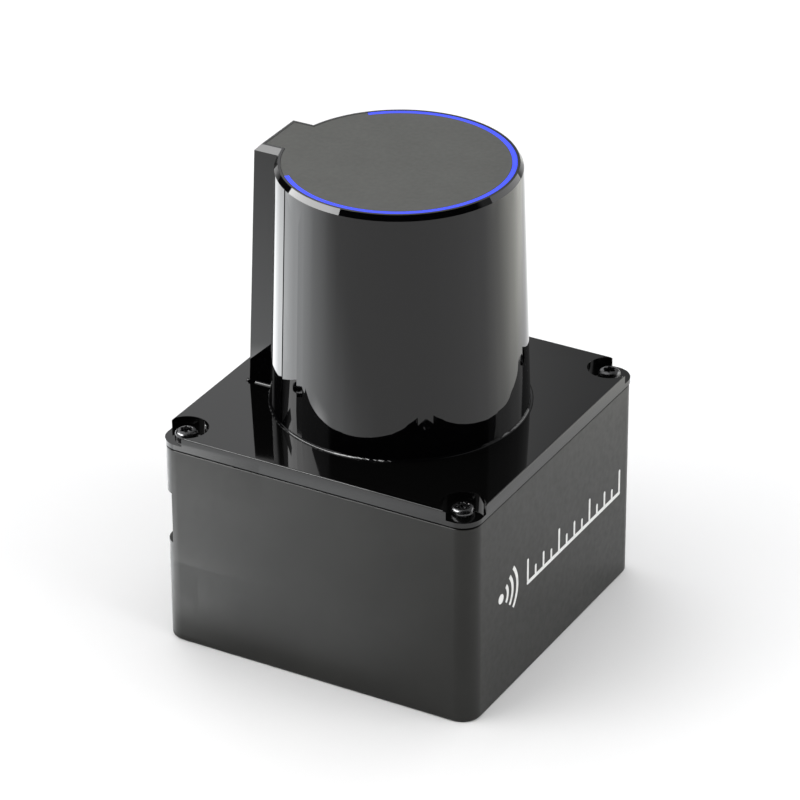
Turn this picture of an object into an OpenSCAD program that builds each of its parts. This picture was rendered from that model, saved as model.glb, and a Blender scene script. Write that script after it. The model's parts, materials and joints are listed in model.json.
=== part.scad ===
// Compact single-plane lidar scanner: a square housing with a lid, an infrared-transmitting hood
// with a rear fin, and inside them a spinning 45 degree mirror under a fixed optical head.
// Millimetres. +Z is up along the mirror's axis, +X is the middle of the scanned sector,
// and the origin is the centre of the housing's underside.

/* [Housing] */
// Side of the square housing
body_w = 60; // [58:0.5:64]
// Height of the housing, up to the lid seam
body_h = 37.4; // [37:0.1:38]
// Radius of the housing's upright edges
corner_r = 3.5; // [3:0.1:4]
// Wall thickness of the housing
wall = 2.4; // [2:0.1:2.6]
// Thickness of the lid
lid_t = 3; // [2.8:0.1:3.4]

/* [Hood] */
// Overall height, from the underside to the top of the cap
total_h = 85; // [85:0.5:88]
// Outer radius of the hood where it leaves the lid
hood_r_base = 22.2; // [22.1:0.1:22.6]
// Outer radius of the hood just under its top chamfer
hood_r_top = 20.7; // [20.7:0.1:21]
// Wall thickness of the hood
hood_wall = 1.8; // [1.6:0.1:1.8]
// How far the rear fin reaches from the axis, at the lid
fin_x_base = 25.6; // [25.3:0.1:25.9]
// Half the width of the fin, at the lid
fin_hw_base = 7.3; // [7:0.1:7.5]
// Angle that the light ring spans, the same as the scanned sector
scan_angle = 270; // [240:5:270]

/* [Scanning mirror] */
// Height of the scan plane
scan_z = 58; // [58:0.25:58.5]
// Radius of the mirror as the beam sees it
mirror_r = 10; // [9:0.5:10]
// Number of slots that fit round the encoder disc, one of which is left closed
encoder_slots = 48; // [24:6:60]

/* [Connections] */
// Distance between the bottom mounting holes, along X and along Y
mount_pitch = 44; // [40:1:44]
// Height of the rear channel's middle, where the two inlets sit
inlet_z = 23.9; // [23.5:0.1:24.3]
// Distance of each inlet from the middle of the rear face
inlet_y = 8; // [8:0.25:8.5]

/* [Hidden] */
$fn = 64;
eps = 0.01;
slip = 0.02;                                  // radial clearance of a screw in its thread or a fit

// Screws: [shank diameter, head radius, head height], and the holes that they go through
lid_screw = [2, 2, 1.3];
m2_screw = [2, 1.9, 1.3];
m2_low_screw = [2, 1.8, 1.1];
m25_screw = [2.5, 2.2, 1.5];
m2_tap_r = 1 + slip;
m25_tap_r = 1.25 + slip;
m2_pass_r = 1.1;
m25_pass_r = 1.35;

// Housing and lid
lid_top = body_h + lid_t;
lid_overhang = 0.15;                          // how far the lid stands out beyond the housing
lid_w = body_w + 2 * lid_overhang;
cavity_w = body_w - 2 * wall;
floor_t = 2.6;
boss_r = 3.2;
screw_p = body_w / 2 - 3.5;                   // lid screw axes, from the middle along X and Y
screw_pocket_r = 3.85;
screw_pocket_d = 1.7;
screw_pocket_z = lid_top - screw_pocket_d;
lid_screw_hole_d = 10;
seam_gap = 0.25;                              // open groove round the lid's lower edge
seam_inset = 0.6;
gasket_t = 0.8;
hood_seal_t = 0.5;
hood_gap = 0.08;                              // clearance of the hood's foot in the lid's opening
mount_hole_r = 1.25;                          // tapping drill of an M3 thread
mount_hole_d = 6.5;
channel_h = 9.6;
channel_low = inlet_z - channel_h / 2;
channel_high = inlet_z + channel_h / 2;
channel_d = 2.1;
pad_x = body_w / 2 - 4.5;                     // inner face of the pad behind the rear channel

// Hood
hood_chamfer_z = 0.95;
hood_shoulder = total_h - hood_chamfer_z;
hood_chamfer_r = 0.58;
hood_flange_t = 2.2;
hood_foot = body_h - hood_flange_t;
foot_fillet = 0.4;                            // concave fillet where the hood meets the lid
foot_r = hood_r_base + foot_fillet;
foot_x = fin_x_base + foot_fillet;
foot_hw = fin_hw_base + foot_fillet;
hood_ledge = total_h - 1.8;                   // ledge that carries the cap and the light ring
fin_lean = 1.35;                              // the fin's draft, over the hood's height
fin_narrow = 1.15;
fin_x_top = fin_x_base - fin_lean;
fin_hw_top = fin_hw_base - fin_narrow;
fin_chamfer = 0.9;
fin_wall = 1.6;
fin_in_x = fin_x_base - fin_wall;
fin_in_hw = fin_hw_base - fin_wall;
hood_screw_p = 19.8;
line_w = 0.4;                                 // fine grooves beside the fin, where the window ends
line_d = 0.25;
line_angle = 125.5;                           // their place, turned from the front
rim_t = 0.5;                                  // hood rim left round the cap and the light ring
cap_r = hood_r_top - hood_chamfer_r - rim_t;
cap_x = fin_x_top - fin_chamfer - rim_t;
cap_hw = fin_hw_top - fin_chamfer - rim_t;
cap_gap = 0.04;
cap_t = 1.25;
ring_w = 0.85;                                // width of the lit strip
guide_t = 0.5;                                // the light guide's foot, over the head's diodes
guide_r_in = 17.5;
guide_r_out = 18.6;

// Decks
post_x = 24.4;
post_y = 19;
chassis_z = 30;
chassis_t = 2.5;
deck = chassis_z + chassis_t;
board_t = 1.6;
main_z = 9;
upper_z = 16.6;
board_lx = 42;
board_ly = 53;
board_px = 14;
board_py = 24;

// Motor and mirror
shaft_r = 1.5;
bearing_r = 4;
bearing_b = 3;
outer_race_in_r = 3.2;
inner_race_out_r = 2.3;
ball_r = 0.75;
ball_pitch_r = 2.75;
ball_count = 7;
lower_bearing_z = deck + 0.7;
upper_bearing_z = deck + 7.5;
holder_r = 5.2;
holder_screw_r = 6.9;
stator_r = 10.8;
stator_z = deck + 3.7;
stator_h = 3.8;
teeth = 9;
bell_r = 13;
bell_z = deck + 2.7;
bell_top = deck + 12.5;
disc_r = 16.5;
disc_z = deck + 8.5;
disc_t = 0.6;
slot_r = 14.6;                                // inner end of the encoder's slots
slot_l = 1.4;
slot_w = 0.9;
clip_z = chassis_z + 2.76;                    // retaining clip, in its groove under the bearings
mirror_t = 1.5;
motor_board_t = 1;

// Optical head
head_z = scan_z + 10.6;
head_top = total_h - 4.8;
head_board_t = 1.2;
head_board_top = head_top + head_board_t;
lens_z = head_z + 1.5;
lens_r = 12.4;
lens_edge = 1.5;
lens_rise = 4;
tube_r = 3;
tube_z = scan_z + 4.8;
tube_bore_r = tube_r - 0.6;
head_screw_r = 14.6;
column_x = 21.4;                              // outer face of the column that holds the head up
column_t = 3.8;
column_hw = 4;
bracket_screw_x = column_x - 2.2;
bracket_screw_y = 9;
flex_t = 0.3;
flex_w = 6;
plug_z = upper_z + board_t + 2.2;             // top of the plugs that the flexes enter

// Rear inlets, with lengths from the rear channel's face
seat_x = body_w / 2 - channel_d;
inlet_r = 4;
inlet_l = 7.6;
inlet_back = 7;
flange_r = 4.7;
flange_z = 0.5;
flange_t = 1.3;
relief_r = 3.6;                               // groove where the barrel's thread ends
relief_w = 0.6;
bore_r = 3.2;
bore_z = 2.6;                                 // floor of the barrel's bore
pin_r = 0.5;
pin_p = 1.6;
pin_l = 3.8;
insert_l = 4.6;
nut_t = 2;

// ---- Shared shapes -------------------------------------------------------------------------

module rounded_square(side, r) {
    square([side, side - 2 * r], center = true);
    square([side - 2 * r, side], center = true);
    at_corners(side / 2 - r, side / 2 - r) circle(r);
}

module at_corners(px, py) {
    for (sx = [-1, 1], sy = [-1, 1]) translate([sx * px, sy * py, 0]) children();
}

module block(x, y, z) {
    translate([x[0], y[0], z[0]]) cube([x[1] - x[0], y[1] - y[0], z[1] - z[0]]);
}

module ring(ro, ri, h) {
    difference() {
        cylinder(r = ro, h = h);
        translate([0, 0, -eps]) cylinder(r = ri, h = h + 2 * eps);
    }
}

module around(count, radius, start = 0) {
    for (i = [0:count - 1])
        rotate([0, 0, start + i * 360 / count]) translate([radius, 0, 0]) children();
}

// Six-lobed recess, cut downwards from z = 0
module lobe_recess(r, depth) {
    translate([0, 0, -depth]) {
        cylinder(r = r * 0.78, h = depth + eps);
        around(6, r * 0.76) cylinder(r = r * 0.24, h = depth + eps);
    }
}

// Pan-head screw that bears on z = 0, with its head above and its shank below
module pan_screw(size, len) {
    d = size[0];
    head_h = size[2];
    difference() {
        cylinder(r = size[1], h = head_h);
        translate([0, 0, head_h]) lobe_recess(d * 0.44, head_h * 0.6);
    }
    translate([0, 0, -len]) cylinder(r = d / 2, h = len + eps);
}

// The same screw driven upwards, with its head hanging under z = 0
module pan_screw_up(size, len) {
    rotate([180, 0, 0]) pan_screw(size, len);
}

// A block behind the axis whose rear face and sides lean between two heights
module fin_block(x0, hw0, z0, x1, hw1, z1, inner = 8) {
    polyhedron(
        points = [
            [-x0, -hw0, z0], [-inner, -hw0, z0], [-inner, hw0, z0], [-x0, hw0, z0],
            [-x1, -hw1, z1], [-inner, -hw1, z1], [-inner, hw1, z1], [-x1, hw1, z1]
        ],
        faces = [[0, 1, 2, 3], [7, 6, 5, 4], [4, 5, 1, 0], [5, 6, 2, 1], [6, 7, 3, 2], [7, 4, 0, 3]]
    );
}

// Keyhole outline: a circle with the fin's rectangle behind it
module keyhole(r, x, hw) {
    circle(r);
    translate([-x, -hw]) square([x, 2 * hw]);
}

// ---- Housing, lid and seals ----------------------------------------------------------------

module base_housing() {
    color("#2b2b2b")
    difference() {
        union() {
            difference() {
                linear_extrude(body_h) rounded_square(body_w, corner_r);
                translate([0, 0, floor_t]) linear_extrude(body_h) rounded_square(cavity_w, 1.5);
            }
            housing_bosses();
            block([-cavity_w / 2 - eps, -pad_x], [-14, 14], [inlet_z - 7, inlet_z + 6]);
        }
        housing_holes();
    }
}

module housing_bosses() {
    intersection() {
        linear_extrude(body_h) rounded_square(body_w, corner_r);
        union() {
            at_corners(screw_p, screw_p) cylinder(r = boss_r, h = body_h);
            at_corners(post_x, post_y) cylinder(r = 2.8, h = chassis_z);
            for (sx = [-1, 1], sy = [-1, 1]) scale([sx, sy, 1])
                block([post_x, body_w / 2 - 1], [post_y - 1.5, post_y + 1.5], [1, chassis_z]);
            at_corners(mount_pitch / 2, mount_pitch / 2) cylinder(r = boss_r, h = mount_hole_d + 1.5);
            at_corners(board_px, board_py) cylinder(r = 2.2, h = main_z);
        }
    }
}

// Hole that opens upwards at a height
module hole_down(r, top, depth) {
    translate([0, 0, top - depth]) cylinder(r = r, h = depth + eps);
}

module housing_holes() {
    at_corners(screw_p, screw_p) hole_down(m2_tap_r, body_h, lid_screw_hole_d);
    at_corners(post_x, post_y) hole_down(m25_tap_r, chassis_z, 8);
    at_corners(board_px, board_py) hole_down(m2_tap_r, main_z, 4.2);
    at_corners(mount_pitch / 2, mount_pitch / 2)
        translate([0, 0, -eps]) cylinder(r = mount_hole_r, h = mount_hole_d + eps);
    // Rear channel, open through both rear corners
    block([-body_w, -seat_x], [-body_w, body_w], [channel_low, channel_high]);
    for (s = [-1, 1]) translate([-body_w / 2, s * inlet_y, inlet_z])
        rotate([0, 90, 0]) cylinder(r = inlet_r + slip, h = 8);
    translate([0, 0, body_h - gasket_t]) linear_extrude(gasket_t + eps) gasket_outline();
}

module screw_keepout(r) {
    for (sx = [-1, 1], sy = [-1, 1]) scale([sx, sy]) translate([screw_p, screw_p]) {
        circle(r);
        translate([-r, 0]) square([6 + r, 6]);
        translate([0, -r]) square([6, 6 + r]);
    }
}

module gasket_outline() {
    difference() {
        rounded_square(body_w - 2.4, 2.3);
        screw_keepout(2);
        difference() {
            rounded_square(cavity_w + 0.6, 1.4);
            screw_keepout(2.9);
        }
    }
}

module lid_gasket() {
    color("#3a3a3a") translate([0, 0, body_h - gasket_t])
        linear_extrude(gasket_t) gasket_outline();
}

module lid() {
    color("#1a1a1c")
    difference() {
        union() {
            translate([0, 0, body_h + seam_gap]) linear_extrude(lid_t - seam_gap)
                rounded_square(lid_w, corner_r + lid_overhang);
            translate([0, 0, body_h]) linear_extrude(seam_gap + eps)
                rounded_square(body_w - 2 * seam_inset, corner_r - seam_inset);
        }
        translate([0, 0, body_h - eps]) linear_extrude(lid_t + 1)
            keyhole(foot_r + hood_gap, foot_x + hood_gap, foot_hw + hood_gap);
        at_corners(screw_p, screw_p) {
            hole_down(screw_pocket_r, lid_top, screw_pocket_d);
            translate([0, 0, body_h - eps]) cylinder(r = m2_pass_r, h = lid_t);
        }
        at_corners(hood_screw_p, hood_screw_p)
            translate([0, 0, body_h - eps]) cylinder(r = m2_tap_r, h = 2.1);
        translate([0, 0, body_h - eps]) linear_extrude(hood_seal_t + eps) hood_seal_outline();
    }
}

module lid_screws() {
    color("#55565a") at_corners(screw_p, screw_p)
        translate([0, 0, screw_pocket_z]) pan_screw(lid_screw, 8);
}

// ---- Hood, cap and light ring --------------------------------------------------------------

// Cone between two heights
module cone(r0, z0, r1, z1) {
    translate([0, 0, z0]) cylinder(r1 = r0, r2 = r1, h = z1 - z0);
}

module hood_outside() {
    cone(hood_r_base, lid_top, hood_r_top, hood_shoulder);
    cone(hood_r_top, hood_shoulder, hood_r_top - hood_chamfer_r, total_h);
    translate([0, 0, hood_foot]) linear_extrude(lid_top - hood_foot) keyhole(foot_r, foot_x, foot_hw);
    foot_fillets();
    fin_block(fin_x_base, fin_hw_base, lid_top, fin_x_top, fin_hw_top, hood_shoulder);
    fin_block(
        fin_x_top, fin_hw_top, hood_shoulder,
        fin_x_top - fin_chamfer, fin_hw_top - fin_chamfer, total_h
    );
    translate([0, 0, hood_foot]) linear_extrude(hood_flange_t) {
        rounded_square(50, 6);
        translate([-27.2, -9]) square([12, 18]);
    }
}

// Concave fillets on the lid's level, round the hood and along the fin's three sides
module foot_fillets() {
    translate([0, 0, lid_top]) {
        rotate_extrude() difference() {
            translate([hood_r_base - 1, 0]) square([1 + foot_fillet, foot_fillet]);
            translate([foot_r, foot_fillet]) circle(foot_fillet);
        }
        for (s = [-1, 1]) scale([1, s, 1]) translate([-foot_x, fin_hw_base, 0]) straight_fillet(10);
        translate([-fin_x_base, -foot_hw, 0]) rotate([0, 0, 90]) straight_fillet(2 * foot_hw);
    }
}

// Runs along +X, rises against a wall at y = 0
module straight_fillet(len) {
    difference() {
        translate([0, -1, 0]) cube([len, 1 + foot_fillet, foot_fillet]);
        translate([-eps, foot_fillet, foot_fillet])
            rotate([0, 90, 0]) cylinder(r = foot_fillet, h = len + 2 * eps);
    }
}

module hood_inside() {
    low_r = hood_r_base - hood_wall;
    cone(low_r, hood_foot - 1, low_r, lid_top);
    cone(low_r, lid_top - eps, hood_r_top - hood_wall, hood_ledge + eps);
    fin_block(fin_in_x, fin_in_hw, hood_foot - 1, fin_in_x, fin_in_hw, lid_top);
    fin_block(
        fin_in_x, fin_in_hw, lid_top,
        fin_x_top - fin_wall, fin_hw_top - fin_wall, hood_ledge + eps
    );
    translate([0, 0, hood_ledge]) linear_extrude(3)
        keyhole(cap_r + cap_gap, cap_x + cap_gap, cap_hw + cap_gap);
}

// Fine upright grooves in the hood's outside, at both ends of the scanned sector
module window_lines() {
    lean = atan((hood_r_base - hood_r_top) / (hood_shoulder - lid_top));
    for (s = [-1, 1]) rotate([0, 0, s * line_angle]) translate([hood_r_base, 0, lid_top])
        rotate([0, -lean, 0])
            block([-line_d, 1], [-line_w / 2, line_w / 2], [foot_fillet, hood_shoulder - lid_top]);
}

module hood_window() {
    color("#141416")
    difference() {
        hood_outside();
        hood_inside();
        window_lines();
        at_corners(hood_screw_p, hood_screw_p)
            translate([0, 0, hood_foot - eps]) cylinder(r = m2_pass_r, h = hood_flange_t + 2 * eps);
    }
}

module hood_seal_outline() {
    difference() {
        keyhole(foot_r + 1.05, foot_x + 1.05, foot_hw + 1.05);
        keyhole(foot_r + 0.15, foot_x + 0.15, foot_hw + 0.15);
    }
}

module hood_seal() {
    color("#3a3a3a") translate([0, 0, body_h]) linear_extrude(hood_seal_t) hood_seal_outline();
}

module hood_screws() {
    color("#8a8c90") at_corners(hood_screw_p, hood_screw_p)
        translate([0, 0, hood_foot]) pan_screw_up(m2_screw, hood_flange_t + 1.9);
}

// Sweeps a profile, drawn in the r-z plane, round the lit sector
module round_sector(trim = 0) {
    rotate([0, 0, -scan_angle / 2 + trim]) rotate_extrude(angle = scan_angle - 2 * trim) children();
}

module top_cap() {
    ring_in_r = cap_r - ring_w;
    color("#4b4c4a")
    difference() {
        translate([0, 0, hood_ledge]) linear_extrude(total_h - hood_ledge) keyhole(cap_r, cap_x, cap_hw);
        translate([0, 0, hood_ledge - eps]) cylinder(r = ring_in_r - 2.5, h = total_h - hood_ledge - cap_t);
        // Room for the light ring and, under the cap's edge, for the foot of its light guide
        round_sector() translate([ring_in_r, hood_ledge - 1]) square([ring_w + 1, 4]);
        round_sector() translate([guide_r_in - 0.1, hood_ledge - 1])
            square([ring_in_r - guide_r_in + 0.2, 1 + guide_t + 0.05]);
    }
}

module light_ring() {
    inner = cap_r - ring_w + cap_gap;
    low = hood_ledge + slip;
    color("#3b5bff") round_sector(0.2) polygon([
        [inner, total_h], [cap_r, total_h], [cap_r, low], [guide_r_out, low],
        [guide_r_out, hood_ledge - 1], [guide_r_in, hood_ledge - 1],
        [guide_r_in, hood_ledge + guide_t], [inner, hood_ledge + guide_t]
    ]);
}

// ---- Optical head --------------------------------------------------------------------------

module head_board() {
    color("#1f5a3a")
    difference() {
        translate([0, 0, head_top]) cylinder(r = 18.4, h = head_board_t);
        around(3, head_screw_r) translate([0, 0, head_top - eps]) cylinder(r = m2_pass_r, h = 2);
    }
}

module head_chips() {
    top = head_board_top;
    color("#26282b") {
        block([-3.5, 3.5], [-3.5, 3.5], [top, top + 0.9]);
        block([-6.3, -4.3], [-2, 2], [top, top + 0.8]);
        block([4.3, 6.3], [-2, 2], [top, top + 0.8]);
        block([-17.2, -13.8], [-flex_w / 2 - 0.6, flex_w / 2 + 0.6], [top, top + 1]);
    }
}

module ring_leds() {
    color("#e8ecff") for (i = [0:11])
        rotate([0, 0, -scan_angle / 2 + (i + 0.5) * scan_angle / 12])
            translate([17.95, 0, head_board_top + 0.3]) cube([0.8, 1.6, 0.6], center = true);
}

module head_shield() {
    top = head_board_top;
    color("#b8babd")
    difference() {
        block([-8, 8], [-8, 8], [top, top + 1.7]);
        block([-7.7, 7.7], [-7.7, 7.7], [top - 1, top + 1.4]);
    }
}

module head_screws() {
    color("#8a8c90") around(3, head_screw_r)
        translate([0, 0, head_board_top]) pan_screw(m2_low_screw, 5);
}

module detector() {
    color("#c9b36a")
    difference() {
        union() {
            translate([0, 0, head_top - 1.8]) cylinder(r = 2.3, h = 1.4);
            translate([0, 0, head_top - 0.4]) cylinder(r = 2.7, h = 0.4);
        }
        translate([0, 0, head_top - 1.8 - eps]) cylinder(r = 1.4, h = 0.5);
    }
}

module optics_housing() {
    color("#303236")
    difference() {
        union() {
            translate([0, 0, head_z]) cylinder(r = 14.8, h = 4);
            translate([0, 0, head_z + 4]) cylinder(r = 17, h = head_top - head_z - 4);
            block([-column_x, -column_x + column_t], [-column_hw, column_hw], [deck, head_top]);
            block([-column_x, -12], [-column_hw, column_hw], [head_z, head_top]);
            block([-column_x, -column_x + 4.4], [-12, 12], [deck, deck + 2.5]);
        }
        translate([0, 0, head_z - 1]) cylinder(r = 10.9, h = 5);
        translate([0, 0, lens_z]) cylinder(r = lens_r + 0.1, h = lens_edge + eps);
        translate([0, 0, lens_z + lens_edge]) cylinder(r = 13.7, h = 2.2);
        difference() {
            translate([0, 0, head_z + 5.1]) cylinder(r = 15.5, h = 20);
            around(3, head_screw_r) translate([0, 0, head_z + 4]) cylinder(r = 2.2, h = 20);
        }
        around(3, head_screw_r) translate([0, 0, head_top - 5.5]) cylinder(r = m2_tap_r, h = 6);
        bracket_screw_places() translate([0, 0, deck - eps]) cylinder(r = m25_tap_r, h = 3);
        // Groove for the flex, down the column's back
        block(
            [-column_x - 1, -column_x + 0.6], [-flex_w / 2 - 0.3, flex_w / 2 + 0.3],
            [deck - 1, head_top + 1]
        );
    }
}

module bracket_screw_places() {
    for (s = [-1, 1]) translate([-bracket_screw_x, s * bracket_screw_y, 0]) children();
}

module receiver_lens() {
    sphere_r = (lens_r * lens_r + lens_rise * lens_rise) / (2 * lens_rise);
    color("#9fc4d8")
    difference() {
        intersection() {
            translate([0, 0, lens_z]) cylinder(r = lens_r, h = lens_edge + lens_rise + 1);
            translate([0, 0, lens_z + lens_edge + lens_rise - sphere_r]) sphere(sphere_r);
        }
        translate([0, 0, lens_z - 1]) cylinder(r = tube_r + slip, h = 12);
    }
}

module lens_retainer() {
    color("#3c3e42") translate([0, 0, lens_z + lens_edge + 0.35]) difference() {
        ring(13.65, 12, 1.4);
        for (a = [0, 90]) rotate([0, 0, a]) translate([-15, -0.6, 0.8]) cube([30, 1.2, 1]);
    }
}

module laser_tube() {
    color("#2e3034") translate([0, 0, tube_z]) ring(tube_r, tube_bore_r, head_z + 8.4 - tube_z);
}

module collimator_lens() {
    z = tube_z + 1.2;
    color("#9fc4d8") intersection() {
        translate([0, 0, z]) cylinder(r = tube_bore_r - slip, h = 2.2);
        translate([0, 0, z + 2.2 - 3.6]) sphere(3.6);
    }
}

module laser_diode() {
    z = head_z + 4.2;
    color("#c9b36a") {
        translate([0, 0, z]) cylinder(r = 1.8, h = 2.3);
        translate([0, 0, z + 2.2]) cylinder(r = tube_bore_r - slip, h = 1.2);
        around(3, 0.9) translate([0, 0, z + 3.3]) cylinder(r = 0.22, h = 0.9);
    }
}

module laser_flex() {
    z = head_z + 8.5;
    color("#b5722a") {
        block([-15.1, 2.2], [-1.5, 1.5], [z, z + 0.2]);
        block([-15.1, -14.9], [-1.5, 1.5], [z, head_top]);
    }
}

// From the head board's plug down the column's back, then forwards and down into the upper board's plug
module head_flex() {
    top = head_board_top + 1;
    back = -column_x - 0.3;
    turn_z = upper_z + 6;
    hw = flex_w / 2;
    narrow_hw = hw - 0.4;
    color("#b5722a") {
        block([back, -16], [-hw, hw], [top, top + flex_t]);
        block([back, back + flex_t], [-hw, hw], [turn_z, top + flex_t]);
        block([back, -17.5], [-narrow_hw, narrow_hw], [turn_z, turn_z + flex_t]);
        block([-17.5 - flex_t, -17.5], [-narrow_hw, narrow_hw], [plug_z, turn_z + flex_t]);
    }
}

module bracket_screws() {
    color("#8a8c90") bracket_screw_places()
        translate([0, 0, chassis_z]) pan_screw_up(m25_screw, chassis_t + 2.2);
}

// ---- Chassis and motor ---------------------------------------------------------------------

module chassis_plate() {
    color("#9a9da1")
    difference() {
        block([-27, 27], [-22, 22], [chassis_z, deck]);
        translate([0, 0, chassis_z - 1]) {
            cylinder(r = 3.4, h = 5);
            around(3, holder_screw_r, 30) cylinder(r = m2_pass_r, h = 5);
            at_corners(post_x, post_y) cylinder(r = m25_pass_r, h = 5);
            bracket_screw_places() cylinder(r = m25_pass_r, h = 5);
        }
        block([-column_x - 2, -column_x + 0.2], [-4, 4], [chassis_z - 1, deck + 1]);
        block([17, 19], [-5, 5], [chassis_z - 1, deck + 1]);
    }
}

module chassis_screws() {
    color("#8a8c90") at_corners(post_x, post_y) translate([0, 0, deck]) pan_screw(m25_screw, chassis_t + 6);
}

module bearing_holder() {
    color("#b9975b")
    difference() {
        union() {
            translate([0, 0, deck]) cylinder(r = 8.5, h = 1.5);
            translate([0, 0, deck]) cylinder(r = holder_r, h = 10.7);
        }
        translate([0, 0, deck - 1]) cylinder(r = 3.3, h = 20);
        translate([0, 0, lower_bearing_z]) cylinder(r = bearing_r, h = bearing_b);
        translate([0, 0, upper_bearing_z]) cylinder(r = bearing_r, h = 10);
        around(3, holder_screw_r, 30) translate([0, 0, deck - eps]) cylinder(r = m2_tap_r, h = 3);
    }
}

module motor_screws() {
    color("#8a8c90") around(3, holder_screw_r, 30)
        translate([0, 0, chassis_z]) pan_screw_up(m2_low_screw, chassis_t + 1.3);
}

module motor_board() {
    color("#1f5a3a")
    difference() {
        union() {
            translate([0, 0, deck]) cylinder(r = 16, h = motor_board_t);
            block([-5, 5], [8, 20.2], [deck, deck + motor_board_t]);
        }
        translate([0, 0, deck - 1]) cylinder(r = 8.6, h = 3);
        block([-20, -13.5], [-20, 20], [deck - 1, deck + 2]);
    }
}

module hall_sensors() {
    color("#26282b") for (a = [-60, -20, 20]) rotate([0, 0, a])
        translate([11.6, 0, deck + motor_board_t + 0.4]) cube([1.6, 2.9, 0.8], center = true);
}

module motor_flex() {
    low = deck + motor_board_t;
    color("#b5722a") {
        block([15.2, 18 + flex_t], [-3, 3], [low, low + flex_t]);
        block([18, 18 + flex_t], [-3, 3], [plug_z, low + flex_t]);
    }
}

module stator_core() {
    color("#7d7f84") translate([0, 0, stator_z]) linear_extrude(stator_h) difference() {
        union() {
            circle(6.5);
            difference() {
                circle(stator_r);
                circle(9.7);
            }
            around(teeth, 0) translate([6, -0.9]) square([4, 1.8]);
        }
        circle(holder_r + slip);
        around(teeth, 9, 180 / teeth) translate([0, -0.6]) square([3, 1.2]);
    }
}

module stator_coils() {
    color("#b4632a") around(teeth, 0) difference() {
        block([6.8, 9.3], [-1.8, 1.8], [stator_z - 1, stator_z + stator_h + 1]);
        block([6, 10], [-0.92, 0.92], [stator_z - slip, stator_z + stator_h + slip]);
    }
}

// One race of a ball bearing, with its groove, standing on z = 0
module race(ro, ri) {
    rotate_extrude() difference() {
        translate([ri, 0]) square([ro - ri, bearing_b]);
        translate([ball_pitch_r, bearing_b / 2]) circle(ball_r + slip);
    }
}

module outer_races() {
    color("#c4c6c9") for (z = [lower_bearing_z, upper_bearing_z])
        translate([0, 0, z]) race(bearing_r - slip, outer_race_in_r);
}

module inner_races() {
    color("#c4c6c9") for (z = [lower_bearing_z, upper_bearing_z])
        translate([0, 0, z]) race(inner_race_out_r, shaft_r + slip);
}

module ball_cage(z) {
    translate([0, 0, z + bearing_b / 2]) {
        around(ball_count, ball_pitch_r) sphere(ball_r);
        translate([0, 0, -0.25]) ring(ball_pitch_r + 0.2, ball_pitch_r - 0.2, 0.5);
    }
}

module upper_ball_cage() {
    color("#d8d9db") ball_cage(upper_bearing_z);
}

module lower_ball_cage() {
    color("#d8d9db") ball_cage(lower_bearing_z);
}

module encoder_sensor() {
    color("#26282b")
    difference() {
        block([-3, 3], [14.6, 19.5], [deck + motor_board_t, deck + 11.5]);
        block([-4, 4], [13, 17.6], [disc_z - 0.8, disc_z + 1.5]);
        translate([0, 15.6, disc_z - 2]) cylinder(r = 0.5, h = 5);
    }
}

// ---- Rotor ---------------------------------------------------------------------------------

module rotor_shaft() {
    color("#c4c6c9") difference() {
        translate([0, 0, chassis_z + 1]) cylinder(r = shaft_r, h = 18.5);
        translate([0, 0, clip_z - 0.01]) ring(shaft_r + 1, shaft_r - 0.4, 0.42);
    }
}

module shaft_clip() {
    color("#6e7075") translate([0, 0, clip_z]) difference() {
        ring(2.5, shaft_r - 0.38, 0.4);
        translate([0, -0.7, -1]) cube([4, 1.4, 2]);
    }
}

module rotor_bell() {
    color("#8f9297")
    difference() {
        translate([0, 0, bell_z]) cylinder(r = bell_r, h = bell_top - bell_z);
        translate([0, 0, bell_z - 1]) difference() {
            cylinder(r = bell_r - 0.8, h = bell_top - bell_z - 0.2);
            translate([0, 0, upper_bearing_z + bearing_b - bell_z + 1]) cylinder(r = 2.2, h = 10);
        }
        translate([0, 0, bell_z - 1]) cylinder(r = shaft_r + slip, h = 20);
    }
}

module ring_magnet() {
    color("#3d3f44") translate([0, 0, bell_z + 0.4]) ring(bell_r - 0.8, 11.2, 4.8);
}

// Slab between two depths behind the mirror's face
module mirror_slab(near, far) {
    translate([0, 0, scan_z]) rotate([0, 45, 0]) block([-40, 40], [-40, 40], [-far, -near]);
}

module mirror_hub() {
    color("#34363a")
    difference() {
        intersection() {
            translate([0, 0, bell_top]) cylinder(r = mirror_r + 0.4, h = 30);
            mirror_slab(mirror_t, 60);
        }
        translate([0, 0, bell_top - 1]) cylinder(r = shaft_r + slip, h = 6);
        block([-7.5, -3], [-5.5, 5.5], [bell_top + 6, bell_top + 30]);
    }
}

module mirror() {
    color("#d9dde2") intersection() {
        translate([0, 0, bell_top]) cylinder(r = mirror_r, h = 30);
        mirror_slab(0, mirror_t);
    }
}

module encoder_disc() {
    pitch = 360 / encoder_slots;
    color("#4a4d52")
    difference() {
        translate([0, 0, disc_z]) ring(disc_r, bell_r + slip, disc_t);
        for (i = [1:encoder_slots - 1]) rotate([0, 0, i * pitch])
            translate([slot_r, -slot_w / 2, disc_z - 1]) cube([slot_l, slot_w, 3]);
    }
}

module balance_weight() {
    color("#b9975b") translate([0, 0, bell_top]) rotate([0, 0, -35]) rotate_extrude(angle = 70)
        translate([mirror_r + 0.7, 0]) square([1.9, 2.4]);
}

// ---- Boards --------------------------------------------------------------------------------

module board(z) {
    difference() {
        block([-board_lx / 2, board_lx / 2], [-board_ly / 2, board_ly / 2], [z, z + board_t]);
        at_corners(board_px, board_py) translate([0, 0, z - 1]) cylinder(r = m2_pass_r, h = 4);
    }
}

module main_board() {
    color("#1f5a3a") board(main_z);
}

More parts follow.
